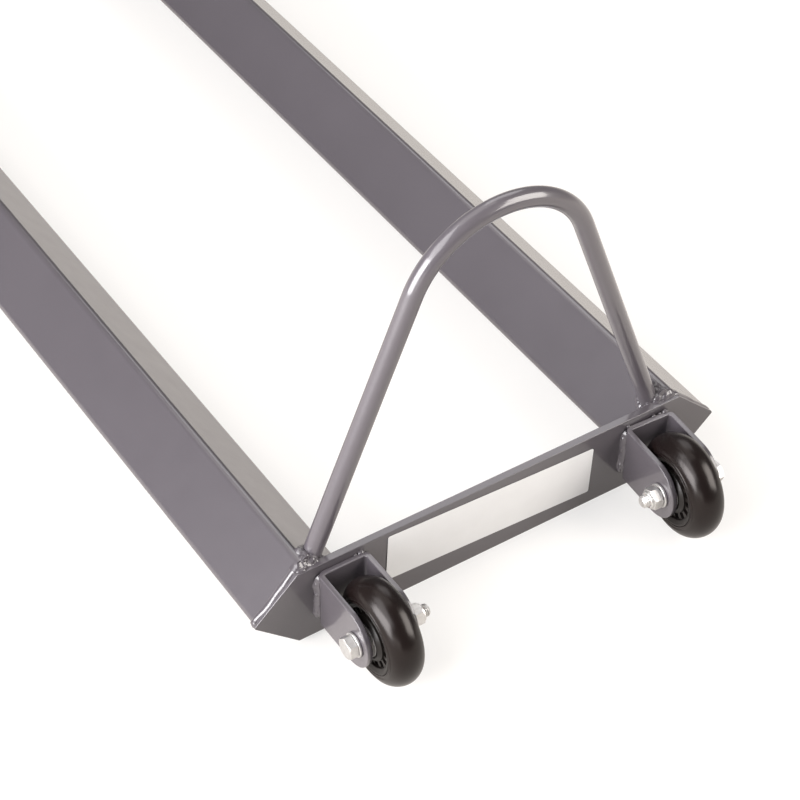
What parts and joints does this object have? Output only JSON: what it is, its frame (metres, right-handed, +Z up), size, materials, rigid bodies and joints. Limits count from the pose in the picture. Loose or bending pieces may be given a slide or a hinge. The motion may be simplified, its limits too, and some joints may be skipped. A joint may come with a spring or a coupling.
{
  "type": "weight plate cart",
  "caption": "Low cart that holds round weight plates on edge between two tube rails, with an arched bar at each end and two fork wheels for tilting and rolling.",
  "frame": {"origin": "on the floor, under the middle of the cart's box", "axes": "+Z up, -Y towards the wheel end along the rails, +X to the right seen from the wheel end"},
  "size_m": [0.3394, 1.204, 0.2769],
  "materials": {
    "paint": "glossy mid grey powder coat with a slight orange peel",
    "tyre": "smooth satin black polyurethane",
    "core": "moulded black plastic",
    "zinc": "bright zinc plating",
    "bearing": "ground bearing steel",
    "label": "satin white sticker, blank"
  },
  "bodies": {
    "frame": {"rail_left": "paint", "rail_right": "paint", "end_plate_front": "paint", "end_plate_rear": "paint", "hoop_front": "paint", "hoop_rear": "paint", "fork_left": "paint", "fork_right": "paint", "blank_label": "label", "bearing_inner_race_outboard_left": "bearing", "side_spacer_outboard_left": "zinc", "washer_outboard_left": "zinc", "bearing_inner_race_inboard_left": "bearing", "side_spacer_inboard_left": "zinc", "washer_inboard_left": "zinc", "bearing_spacer_left": "zinc", "axle_bolt_left": "zinc", "lock_nut_left": "zinc", "bearing_inner_race_outboard_right": "bearing", "side_spacer_outboard_right": "zinc", "washer_outboard_right": "zinc", "bearing_inner_race_inboard_right": "bearing", "side_spacer_inboard_right": "zinc", "washer_inboard_right": "zinc", "bearing_spacer_right": "zinc", "axle_bolt_right": "zinc", "lock_nut_right": "zinc"},
    "wheel_left": {"tyre_left": "tyre", "wheel_core_left": "core", "bearing_outer_race_outboard_left": "bearing", "bearing_outer_race_inboard_left": "bearing"},
    "wheel_right": {"tyre_right": "tyre", "wheel_core_right": "core", "bearing_outer_race_outboard_right": "bearing", "bearing_outer_race_inboard_right": "bearing"}
  },
  "joints": [
    {"name": "wheel_left_spin", "type": "hinge", "parent": "frame", "child": "wheel_left", "pos_m": [-0.1097, -0.56723, 0.03659], "axis": [1, 0, 0], "continuous": true},
    {"name": "wheel_right_spin", "type": "hinge", "parent": "frame", "child": "wheel_right", "pos_m": [0.1117, -0.56788, 0.03659], "axis": [0.9984, -0.0558, 0], "continuous": true}
  ]
}
